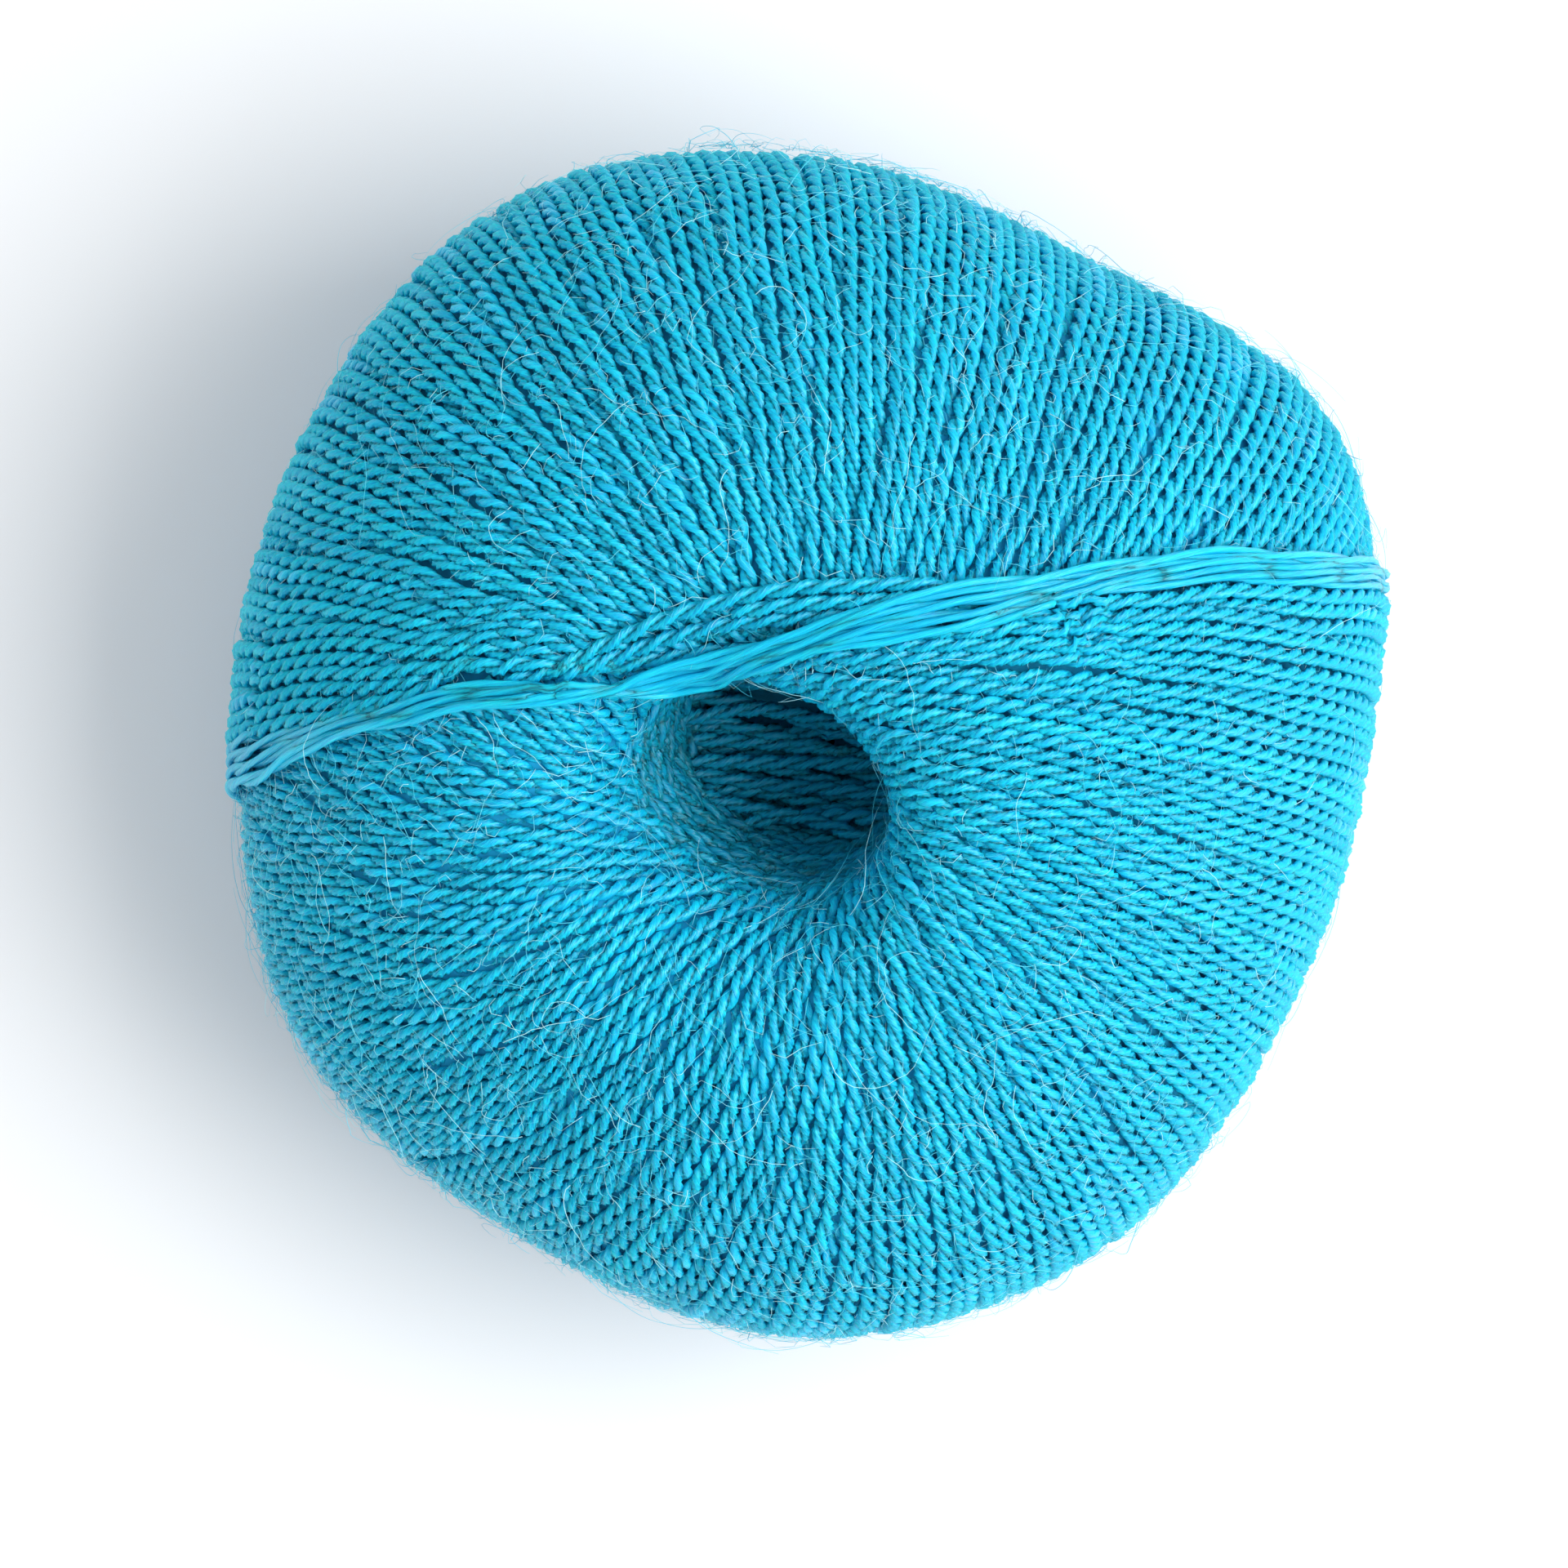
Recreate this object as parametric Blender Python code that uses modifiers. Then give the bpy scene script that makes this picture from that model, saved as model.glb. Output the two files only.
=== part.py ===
"""Centre-pull yarn cake: fine two-ply yarn wound into a squat round cake, lying on its flattened base.

Metres, +Z up. The origin lies under the middle of the cake, on the surface that carries it.
The yarn is one piece, so the model is one solid: the wound form, its centre hole, the coarse turns
that cross over one another and the last band of turns that runs over the top beside the hole.
"""

import math
from collections import namedtuple

import bpy
import numpy as np

MM = 0.001

# Driving dimensions
MIDDLE_RADIUS = 41.6 * MM  # the widest ring, before the outline's bulges
LEAN = math.radians(17.0)  # the hole's axis leans at the top, and is upright at the base
LEAN_TOWARDS = math.radians(223.0)
MOUTH_TOWARDS = math.radians(-20.0)  # the hole's mouth is longer this way and narrower across
MOUTH_WIDEN = 0.17
MOUTH_NARROW = 0.12
MOUTH_REACH = 15.0 * MM
BASE_PRESS = 2.3 * MM  # how far the underside is pressed in by its own weight

# Winding
LAST_TURN = math.radians(102.0)  # the side of the hole that the last turn passes
COARSE_TURNS = 48  # raised turns for one lap of the winding
TURN_CROWN = 0.8 * MM
BAND_LIFT = 1.3 * MM  # the last turns lie over the older ones
BAND_FADE = math.radians(42.0)
BAND_LAP = math.radians(35.0)  # turns younger than this pass beside the hole, older ones dip into it
MIDDLE_SWING = math.radians(84.0)  # a turn's way round from the hole to the widest ring

# Fineness of the model
RING_STEPS = 6  # rings between two rows of the section table
COLUMNS = 240
OUTLINE_STEPS = 30  # points between two rows of the outline table
ROUNDING_FACTOR = 0.5
ROUNDING_PASSES = 2
KEPT_TRIANGLES = 11600
MERGE_DISTANCE = 0.1 * MM

# The section, from the bottom of the hole over the rim and the outside to the dimple in the base.
# radius and height in mm, height from the middle of the cake; lean of the yarn there in degrees.
Ring = namedtuple("Ring", "radius height lean")
SECTION = [
    Ring(0.0, 2.0, 28),
    Ring(4.6, 2.4, 28),
    Ring(7.0, 5.4, 28),
    Ring(8.0, 10.5, 28),
    Ring(8.6, 16.0, 28),
    Ring(9.5, 21.4, 28),
    Ring(11.6, 25.2, 27),
    Ring(15.0, 26.7, 27),
    Ring(20.0, 26.3, 27),
    Ring(27.0, 23.5, 27),
    Ring(34.0, 17.8, 25),
    Ring(39.4, 9.9, 22),
    Ring(41.6, 0.0, 20),
    Ring(40.2, -9.2, 22),
    Ring(36.0, -17.2, 24),
    Ring(29.6, -22.9, 26),
    Ring(22.0, -26.2, 28),
    Ring(14.5, -27.5, 30),
    Ring(8.6, -27.4, 36),
    Ring(5.2, -26.2, 50),
    Ring(3.0, -24.2, 60),
    Ring(0.0, -23.6, 60),
]

# The outline seen from above: the reach in mm towards each direction, every 30 degrees from +X.
OUTLINE_REACH = [40.0, 44.1, 40.1, 42.2, 44.8, 43.0, 42.3, 44.5, 43.1, 44.4, 42.9, 39.7]

# Where a turn is level and turns back: inside the hole, on the rim for the last turns, in the dimple.
HOLE_TURN_HEIGHT = 16.0 * MM
BAND_TURN_RADIUS = 12.6 * MM
DIMPLE_TURN_RADIUS = 4.2 * MM
HOLE_EASE = 2.2 * MM
BAND_EASE = 5.0 * MM
DIMPLE_EASE = 2.5 * MM
STEEPEST_SINE = 0.9995
TOUCH = 1.001  # neighbouring turns meet without a gap
BARE_RADIUS = 9.0 * MM  # the wall of the hole and the dimple are smooth
FULL_RADIUS = 15.5 * MM  # the turns stand up in full from here out


def smooth_points(rows, steps):
    """Points on a smooth curve through the rows, steps to each row."""
    p = np.array(rows, float)
    p = np.vstack([2 * p[0] - p[1], p, 2 * p[-1] - p[-2]])
    share = np.arange(steps)[:, None] / steps
    pieces = []
    for a, b, c, d in zip(p, p[1:], p[2:], p[3:]):
        bend = (2 * a - 5 * b + 4 * c - d) * share**2
        twist = (3 * b - a - 3 * c + d) * share**3
        pieces.append(b + 0.5 * ((c - a) * share + bend + twist))
    return np.vstack([*pieces, p[-2:-1]])


def section():
    """Radius, height, sine of the yarn's lean and length along the section, ring by ring."""
    rings = smooth_points(SECTION, RING_STEPS)
    radius = np.maximum(rings[:, 0], 0.0) * MM
    height = rings[:, 1] * MM
    radius[[0, -1]] = 0.0
    along = np.hypot(np.diff(radius), np.diff(height))
    return radius, height, np.sin(np.radians(rings[:, 2])), np.append(0.0, np.cumsum(along))


RADIUS, HEIGHT, LEAN_SINE, ALONG = section()
WIDEST = int(np.argmax(RADIUS))
HOLE_TURN = ALONG[np.argmax(HEIGHT > HOLE_TURN_HEIGHT)]
BAND_TURN = ALONG[np.argmax(RADIUS > BAND_TURN_RADIUS)]
DIMPLE_TURN = ALONG[len(RADIUS) - np.argmax(RADIUS[::-1] > DIMPLE_TURN_RADIUS)]


def swing(turn_at, ease):
    """How far a turn has gone round, ring by ring, after it leaves its level stretch by the hole."""
    top = LEAN_SINE + (1 - LEAN_SINE) * np.exp(-np.clip(ALONG - turn_at, 0, None) / ease)
    base = LEAN_SINE + (1 - LEAN_SINE) * np.exp(-np.clip(DIMPLE_TURN - ALONG, 0, None) / DIMPLE_EASE)
    sine = np.minimum(np.where(ALONG < ALONG[WIDEST], top, base), STEEPEST_SINE)
    slope = sine / np.sqrt(1 - sine**2)
    rate = (slope[1:] + slope[:-1]) * np.diff(ALONG) / np.maximum(RADIUS[1:] + RADIUS[:-1], MM)
    rate[(ALONG[:-1] < turn_at) | (ALONG[1:] > DIMPLE_TURN)] = 0.0
    gone = np.append(0.0, np.cumsum(rate))
    upper = gone / gone[WIDEST] * MIDDLE_SWING
    lower = MIDDLE_SWING + (gone - gone[WIDEST]) / (gone[-1] - gone[WIDEST]) * (math.pi - MIDDLE_SWING)
    return np.where(gone < gone[WIDEST], upper, lower)


HOLE_SWING = swing(HOLE_TURN, HOLE_EASE)
BAND_SWING = swing(BAND_TURN, BAND_EASE)


def ease_in_out(share):
    """A smooth step from 0 to 1."""
    share = np.clip(share, 0.0, 1.0)
    return share * share * (3 - 2 * share)


def wrapped(angle):
    """The angle between -180 and 180 degrees."""
    return (angle + math.pi) % (2 * math.pi) - math.pi


def turns_relief(ring, round_angle):
    """Height of the coarse turns at points given by ring and angle round the axis: the newest on top."""
    relief = np.zeros(len(ring))
    bare = np.ones(len(ring), bool)
    half_width = math.pi / COARSE_TURNS
    for age in np.arange(COARSE_TURNS) * 2 * half_width:
        old = ease_in_out(age / BAND_LAP)
        gone = BAND_SWING[ring] * (1 - old) + HOLE_SWING[ring] * old
        for side in (-1, 1):
            off = wrapped(round_angle - (LAST_TURN - age + side * gone)) / half_width
            covered = bare & (np.abs(off) < TOUCH)
            crown = TURN_CROWN * np.sqrt(np.clip(1 - off[covered] ** 2, 0, None))
            relief[covered] = crown + BAND_LIFT * math.exp(-age / BAND_FADE)
            bare &= ~covered
    return relief * ease_in_out((RADIUS[ring] - BARE_RADIUS) / (FULL_RADIUS - BARE_RADIUS))


def outline_reach(angle):
    """The outline's reach towards an angle, smooth through the table and closed on itself."""
    lap = [[reach] for reach in [OUTLINE_REACH[-1], *OUTLINE_REACH, *OUTLINE_REACH[:2]]]
    curve = smooth_points(lap, OUTLINE_STEPS)[OUTLINE_STEPS : OUTLINE_STEPS * (len(OUTLINE_REACH) + 1), 0]
    share = angle / (2 * math.pi) % 1.0
    return np.interp(share * len(curve), np.arange(len(curve) + 1), np.append(curve, curve[0])) * MM


def lie(points):
    """Lengthens the hole's mouth, leans its axis over and bulges the cake out to its outline."""
    mouth = np.array([math.cos(MOUTH_TOWARDS), math.sin(MOUTH_TOWARDS)])
    across = np.array([-mouth[1], mouth[0]])
    near = np.exp(-(points[:, 0] ** 2 + points[:, 1] ** 2) / MOUTH_REACH**2)
    wider = np.outer(MOUTH_WIDEN * near * (points[:, :2] @ mouth), mouth)
    narrower = np.outer(MOUTH_NARROW * near * (points[:, :2] @ across), across)
    points = np.column_stack([points[:, :2] + wider - narrower, points[:, 2]])
    towards = np.array([math.cos(LEAN_TOWARDS), math.sin(LEAN_TOWARDS)])
    low, high = HEIGHT.min(), HEIGHT.max()
    angle = LEAN * ease_in_out((points[:, 2] - low) / (high - low))
    forth = points[:, :2] @ towards
    moved = forth * np.cos(angle) + points[:, 2] * np.sin(angle)
    flat = points[:, :2] + np.outer(moved - forth, towards)
    height = points[:, 2] * np.cos(angle) - forth * np.sin(angle)
    reach = np.hypot(flat[:, 0], flat[:, 1])
    bulge = outline_reach(np.arctan2(flat[:, 1], flat[:, 0])) / MIDDLE_RADIUS - 1
    flat *= (1 + bulge * ease_in_out(reach / MIDDLE_RADIUS))[:, None]
    return np.column_stack([flat, height])


def turned_cake(collection):
    """The section turned about the hole's axis into a closed skin."""
    mesh = bpy.data.meshes.new("wound_yarn")
    rings = [(r, 0.0, h) for r, h in zip(RADIUS, HEIGHT)]
    mesh.from_pydata(rings, [(i, i + 1) for i in range(len(rings) - 1)], [])
    cake = bpy.data.objects.new("wound_yarn", mesh)
    collection.objects.link(cake)
    screw = cake.modifiers.new("turn_section", "SCREW")
    screw.steps = screw.render_steps = COLUMNS
    screw.use_merge_vertices = True
    screw.merge_threshold = MERGE_DISTANCE
    bake_modifiers(cake)
    return cake


def bake_modifiers(piece):
    """Replaces a piece's mesh with what its modifiers make of it."""
    shown = piece.evaluated_get(bpy.context.evaluated_depsgraph_get())
    piece.data = bpy.data.meshes.new_from_object(shown)
    piece.modifiers.clear()


def read_points(mesh):
    """The mesh's points as an array."""
    flat = np.zeros(len(mesh.vertices) * 3)
    mesh.vertices.foreach_get("co", flat)
    return flat.reshape(-1, 3)


def write_points(mesh, points):
    """Moves the mesh's points."""
    mesh.vertices.foreach_set("co", points.ravel())
    mesh.update()


def raise_turns(cake):
    """Moves the skin out by the coarse turns, then lays the cake over into its slumped form."""
    points = read_points(cake.data)
    reach = np.hypot(points[:, 0], points[:, 1])
    gaps = (reach[:, None] - RADIUS) ** 2 + (points[:, 2:] - HEIGHT) ** 2
    ring = np.argmin(gaps, axis=1)
    relief = turns_relief(ring, np.arctan2(points[:, 1], points[:, 0]))
    out = np.gradient(-HEIGHT)[ring]
    up = np.gradient(RADIUS)[ring]
    steep = np.hypot(out, up)
    outward = points[:, :2] / np.maximum(reach, MM)[:, None]
    points[:, :2] += outward * (relief * out / steep)[:, None]
    points[:, 2] += relief * up / steep
    write_points(cake.data, lie(points))


def thin_out(cake):
    """Rounds the steps between turns and keeps only the points that the form needs."""
    rounding = cake.modifiers.new("round_turns", "SMOOTH")
    rounding.factor = ROUNDING_FACTOR
    rounding.iterations = ROUNDING_PASSES
    bake_modifiers(cake)
    thinning = cake.modifiers.new("thin_out", "DECIMATE")
    cake.data.calc_loop_triangles()
    thinning.ratio = KEPT_TRIANGLES / len(cake.data.loop_triangles)
    thinning.use_collapse_triangulate = True
    bake_modifiers(cake)


def set_down(cake):
    """Presses the base flat and puts the origin under the middle, on the surface."""
    points = read_points(cake.data)
    floor = points[:, 2].min() + BASE_PRESS
    points[:, 2] = np.maximum(points[:, 2], floor)
    middle = (points.min(axis=0) + points.max(axis=0)) / 2
    points -= [middle[0], middle[1], floor]
    write_points(cake.data, points)


def yarn_material():
    """Soft turquoise yarn."""
    material = bpy.data.materials.new("turquoise_yarn")
    material.use_nodes = True
    shader = material.node_tree.nodes["Principled BSDF"]
    shader.inputs["Base Color"].default_value = (0.0, 0.32, 0.52, 1.0)
    shader.inputs["Roughness"].default_value = 0.75
    shader.inputs["Metallic"].default_value = 0.0
    return material


def main():
    for item in list(bpy.data.objects):
        bpy.data.objects.remove(item)
    collection = bpy.data.collections.new("yarn_cake")
    bpy.context.scene.collection.children.link(collection)
    cake = turned_cake(collection)
    raise_turns(cake)
    thin_out(cake)
    set_down(cake)
    cake.data.shade_smooth()
    cake.data.materials.clear()
    cake.data.materials.append(yarn_material())


main()
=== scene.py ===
"""A centre-pull cake of fine turquoise yarn on a white surface, seen from straight above."""

import math
from collections import namedtuple

import bpy
import numpy as np
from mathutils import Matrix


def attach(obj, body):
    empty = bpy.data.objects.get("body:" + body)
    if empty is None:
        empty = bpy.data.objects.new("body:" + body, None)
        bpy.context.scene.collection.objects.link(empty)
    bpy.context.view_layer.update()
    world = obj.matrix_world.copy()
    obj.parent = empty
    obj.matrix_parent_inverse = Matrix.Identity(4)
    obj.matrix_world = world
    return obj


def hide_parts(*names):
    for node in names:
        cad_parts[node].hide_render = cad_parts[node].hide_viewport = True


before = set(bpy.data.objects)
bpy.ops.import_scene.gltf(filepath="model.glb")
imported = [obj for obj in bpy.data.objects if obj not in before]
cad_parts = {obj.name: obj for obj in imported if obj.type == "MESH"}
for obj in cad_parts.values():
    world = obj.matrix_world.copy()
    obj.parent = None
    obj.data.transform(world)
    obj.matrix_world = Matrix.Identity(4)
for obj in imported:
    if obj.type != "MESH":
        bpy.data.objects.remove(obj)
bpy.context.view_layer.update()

MM = 0.001
random = np.random.default_rng(7)

# The wound form, in mm: the same as the solid's, but pressed less at the base
MIDDLE_RADIUS = 41.6
LEAN = math.radians(17.0)  # the hole's axis leans over this far at the top
LEAN_TOWARDS = math.radians(223.0)
MOUTH_TOWARDS = math.radians(-20.0)  # the hole's mouth is longer this way
MOUTH_WIDEN = 0.17
MOUTH_NARROW = 0.12
MOUTH_REACH = 15.0
BASE_PRESS = 0.5  # the underside is pressed flat this far in
STRAND_INSET = 0.35  # the strands' middle lies this far inside the solid's skin
RING_STEPS = 60
SECTION_STEP = 0.06
OUTLINE_STEPS = 30
# The outline's reach from the middle, at even steps round from the right, set from measures of the photo
OUTLINE_REACH = [40.0, 44.1, 40.1, 42.2, 44.8, 43.0, 42.3, 44.5, 43.1, 44.4, 42.9, 39.7]

# The winding
LAST_TURN = math.radians(102.0)  # the side of the hole that the last turn passes
TURNS_IN_A_LAP = 288
MIDDLE_SWING = math.radians(84.0)  # how far round an old turn goes from the hole to the widest ring
BAND_LIFT = 1.25  # the newest turns lie this far off the skin
BAND_FADE = math.radians(42.0)  # and the older ones less, over this much of a lap
HOLE_TURN_HEIGHT = 16.0  # an old turn comes no nearer to the hole than at this height of the section
CREST_LIFT = 0.9  # the last turns pile up where they cross beside the hole
CREST_AGE = math.radians(4.4)
CREST_REACH = 14.0
LEVEL_REACH = 3.0  # a turn runs level beside the hole for about this stretch of the section
EVEN_OVER = 12.0  # neighbours that share out the room evenly
LEAST_ROOM = 0.02
MOST_SHIFT = 4.0  # a turn is moved by no more than this many turns
DIMPLE_TURN_RADIUS = 4.2
HOLE_EASE = 2.2  # an old turn leaves its level stretch by the hole over about this length
DIMPLE_EASE = 2.5  # and comes level again by the dimple in the base over this one
STEEPEST_SINE = 0.9995
TUCK = 2.0  # how far a strand runs on under the turns that cover it
WAY_STEPS = 20
DIVE_BLEND = 0.12  # how gradually a strand slips under its neighbours
LEAST_SHOWN = 0.02

# The yarn
STRAND_WIDTH = 1.05
PLY_RADIUS = 0.41
PLY_OFFSET = 0.26
STRAND_REACH = PLY_RADIUS + PLY_OFFSET + 0.01  # a strand on the surface has its middle this high
TWIST_LENGTH = 4.0
TWIST_WANDER = 0.25
PLY_TONE = 0.3  # the two plies differ in tone this much of what strands do
GRAIN_SHIFT = 900.0  # each strand has its fibres from another place in the pattern
PLY_SHIFT = 50.0
TAUT_TURNS = range(4)  # these turns are pulled taut, so they lie straight and lose most of their twist
TAUT_FROM = math.radians(205.0)  # past here, low on their left half, they are twisted as the others
TAUT_LOSS = 0.8
TAUT_THIN = 0.3
TAUT_WIDTH = 0.5  # they lie closer together than the others
TAUT_CALM = 0.8  # they wander this much less than the others
WANDER_ACROSS = 0.09
WANDER_OUT = 0.08
SHORTEST_STRAND = 1.5
BASE_BELOW = 14.0  # the strands are coarser tubes from here on below the widest ring
BASE_STEP = 1.0
BASE_SIDES = 4
UPPER_STEP = 0.58
UPPER_SIDES = 5
UNDER_DEPTH = 0.8  # the older layers lie this far under the strands' middle
UNDER_COLUMNS = 120
UNDER_ROW = 24  # section steps to a row of the older layers
PIECE_TRIANGLES = 130000  # a group of strands larger than this is made as several pieces

# Down the hole: level stretches round its wall, in laps, and loose ones across its floor
HOLE_LAPS = 6
HOLE_LAP_STRANDS = 22
WALL_TOP = 0.8  # the first lap lies this far under the outer turns
WALL_END = 4.0  # and the last one ends this far along the section
WALL_SAG = 3.4
WALL_SLANT = 1.1
FLOOR_STRANDS = 22
FLOOR_REACH = 7.8
FLOOR_RADIUS = 9.2
FLOOR_RISE = 2.2
HOLE_STEPS = 70
HOLE_PAINTED_SHADE = -6.5  # painted shade down the hole: darker than the yarn really is here, to bring the hole nearer to the photo's

# The hairs, in mm: how many there are, how long they are, how far they stand off, and their tubes' rings
Hairs = namedtuple("Hairs", "count shortest longest lowest highest rings")
SHORT_HAIRS = Hairs(7600, 0.8, 4.0, 0.15, 1.1, 4)
LONG_HAIRS = Hairs(950, 4.0, 13.0, 0.3, 1.9, 17)
HAIR_RADIUS = 0.03
HAIR_CURL = 0.9
HAIR_BEND = 1.6
HAIRS_PAST_RIM = 2.0
HAIRS_BELOW = 22.0

# The picture, in metres
SURFACE_SIZE = 3.0
WINDOW_SIZE = (0.5, 0.6)
WINDOW_PLACE = (0.45, -0.07, 0.62)
WINDOW_TILT = (math.radians(6.0), math.radians(36.0), 0.0)
WINDOW_POWER = 5.7
ROOM_LIGHT = 0.8
AIM = (-0.00144, -0.00267, 0.028)
PICTURE_WIDTH = 0.1152
LENS = 200.0
SENSOR = 36.0

Ring = namedtuple("Ring", "radius height lean")
SECTION = [
    Ring(0.0, 2.0, 28),
    Ring(4.6, 2.4, 28),
    Ring(7.0, 5.4, 28),
    Ring(8.0, 10.5, 28),
    Ring(8.6, 16.0, 28),
    Ring(9.5, 21.4, 28),
    Ring(11.6, 25.2, 27),
    Ring(15.0, 26.7, 27),
    Ring(20.0, 26.3, 27),
    Ring(27.0, 23.5, 27),
    Ring(34.0, 17.8, 25),
    Ring(39.4, 9.9, 22),
    Ring(41.6, 0.0, 20),
    Ring(40.2, -9.2, 22),
    Ring(36.0, -17.2, 24),
    Ring(29.6, -22.9, 26),
    Ring(22.0, -26.2, 28),
    Ring(14.5, -27.5, 30),
    Ring(8.6, -27.4, 36),
    Ring(5.2, -26.2, 50),
    Ring(3.0, -24.2, 60),
    Ring(0.0, -23.6, 60),
]
# A young turn's way from the hole to the widest ring: place along the section in mm, swing in degrees.
# There is one for the last turn, one for the last that is taut over the hole's rim, one for the first
# that crosses behind them, and one for the first that opens out towards the old turns' way. The first
# three are places read off the photo and turned into these measures outside this script, then adjusted.
Way = namedtuple("Way", "along swing")
LAST_RIGHT = [
    Way(29.8, 0),
    Way(29.9, 9),
    Way(30.9, 24.5),
    Way(32.8, 39),
    Way(35.5, 48.8),
    Way(38.6, 57.2),
    Way(41.1, 62.5),
    Way(43.9, 68),
    Way(46.5, 71.5),
    Way(50.9, 75.7),
    Way(55.1, 79),
    Way(63.5, 85.5),
    Way(75.4, 91),
]
LAST_LEFT = [
    Way(29.8, 0),
    Way(29.9, 9),
    Way(30.3, 26),
    Way(33.7, 44.2),
    Way(41.3, 58.5),
    Way(48.5, 65.8),
    Way(53.2, 70.2),
    Way(59.9, 75),
    Way(75.4, 79),
]
RIM_RIGHT = [
    Way(27.3, 0),
    Way(27.4, 11),
    Way(29.6, 27),
    Way(31.0, 37),
    Way(32.3, 43.5),
    Way(34.0, 52),
    Way(35.8, 59),
    Way(39.2, 67.5),
    Way(42.7, 71.5),
    Way(45.1, 73.8),
    Way(50.3, 77.8),
    Way(55.6, 82.2),
    Way(62.0, 86.8),
    Way(75.4, 93),
]
RIM_LEFT = [
    Way(27.3, 0),
    Way(27.6, 11),
    Way(30.3, 26),
    Way(34.0, 41.2),
    Way(41.5, 56.0),
    Way(48.9, 62.8),
    Way(61.6, 70.8),
    Way(75.4, 75.5),
]
CROSS_RIGHT = [
    Way(32.2, 0),
    Way(32.7, 14),
    Way(33.5, 28),
    Way(34.6, 38.5),
    Way(35.8, 47.8),
    Way(37.3, 56.7),
    Way(39.5, 65.7),
    Way(41.0, 71.8),
    Way(45.2, 82.5),
    Way(50.2, 88),
    Way(55.7, 92.5),
    Way(62.3, 97.2),
    Way(75.4, 103),
]
CROSS_LEFT = [
    Way(32.2, 0),
    Way(32.3, 6),
    Way(32.8, 19),
    Way(34.8, 31.8),
    Way(41.8, 46.5),
    Way(49.6, 54.5),
    Way(62.0, 61.3),
    Way(75.4, 65),
]
OPEN_RIGHT = [
    Way(30.4, 0),
    Way(30.6, 13),
    Way(31.3, 30),
    Way(32.6, 45),
    Way(34.5, 56.5),
    Way(37.0, 66),
    Way(40.0, 73.5),
    Way(44.5, 81),
    Way(50.2, 87.5),
    Way(56.5, 93),
    Way(64.0, 98),
    Way(75.4, 103),
]
OPEN_LEFT = [
    Way(30.4, 0),
    Way(30.6, 9),
    Way(31.4, 22),
    Way(33.8, 33),
    Way(40.6, 45),
    Way(49.4, 53.8),
    Way(62.0, 61.0),
    Way(75.4, 65),
]
# How the turns change with age in degrees: shares of the last way, the rim's, the crossing, the open
# and the old one, and how much further round than its middle a turn comes nearest to the hole
Stage = namedtuple("Stage", "age last rim cross open old skew")
STAGES = [
    Stage(0.0, 1, 0, 0, 0, 0, 5.0),
    Stage(3.75, 0, 1, 0, 0, 0, 8.75),
    Stage(5.0, 0, 0, 1, 0, 0, 19.0),
    Stage(9.0, 0, 0, 0, 1, 0, 19.0),
    Stage(13.0, 0, 0, 0, 1, 0, 18.5),
    Stage(40.0, 0, 0, 0, 0, 1, 0.0),
]


def smooth_points(rows, steps):
    """Points on a smooth curve through the rows, steps to each row."""
    p = np.array(rows, float)
    p = np.vstack([2 * p[0] - p[1], p, 2 * p[-1] - p[-2]])
    share = np.arange(steps)[:, None] / steps
    pieces = []
    for a, b, c, d in zip(p, p[1:], p[2:], p[3:]):
        bend = (2 * a - 5 * b + 4 * c - d) * share**2
        twist = (3 * b - a - 3 * c + d) * share**3
        pieces.append(b + 0.5 * ((c - a) * share + bend + twist))
    return np.vstack([*pieces, p[-2:-1]])


def ease_in_out(share):
    """A smooth step from 0 to 1."""
    share = np.clip(share, 0.0, 1.0)
    return share * share * (3 - 2 * share)


def section():
    """The section at even steps of its own length: length, radius, height, lean's sine, normal."""
    rings = smooth_points(SECTION, RING_STEPS)
    rings[:, 0] = np.maximum(rings[:, 0], 0.0)
    length = np.append(0.0, np.cumsum(np.hypot(np.diff(rings[:, 0]), np.diff(rings[:, 1]))))
    along = np.linspace(0.0, length[-1], int(length[-1] / SECTION_STEP))
    radius, height, lean = (np.interp(along, length, rings[:, i]) for i in range(3))
    out, up = -np.gradient(height), np.gradient(radius)
    size = np.hypot(out, up)
    return along, radius, height, np.sin(np.radians(lean)), out / size, up / size


ALONG, RADIUS, HEIGHT, LEAN_SINE, NORMAL_OUT, NORMAL_UP = section()
WIDEST = int(np.argmax(RADIUS))
HOLE_TURN = ALONG[np.argmax(HEIGHT > HOLE_TURN_HEIGHT)]
DIMPLE_TURN = ALONG[len(RADIUS) - np.argmax(RADIUS[::-1] > DIMPLE_TURN_RADIUS)]


def even_swing(turn_at, ease):
    """How far a turn goes round along the section after its level stretch by the hole."""
    top = LEAN_SINE + (1 - LEAN_SINE) * np.exp(-np.clip(ALONG - turn_at, 0, None) / ease)
    base = LEAN_SINE + (1 - LEAN_SINE) * np.exp(-np.clip(DIMPLE_TURN - ALONG, 0, None) / DIMPLE_EASE)
    sine = np.minimum(np.where(ALONG < ALONG[WIDEST], top, base), STEEPEST_SINE)
    slope = sine / np.sqrt(1 - sine**2)
    rate = (slope[1:] + slope[:-1]) * np.diff(ALONG) / np.maximum(RADIUS[1:] + RADIUS[:-1], 1.0)
    rate[(ALONG[:-1] < turn_at) | (ALONG[1:] > DIMPLE_TURN)] = 0.0
    gone = np.append(0.0, np.cumsum(rate))
    upper = gone / gone[WIDEST] * MIDDLE_SWING
    lower = MIDDLE_SWING + (gone - gone[WIDEST]) / (gone[-1] - gone[WIDEST]) * (math.pi - MIDDLE_SWING)
    return np.where(gone < gone[WIDEST], upper, lower)


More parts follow.
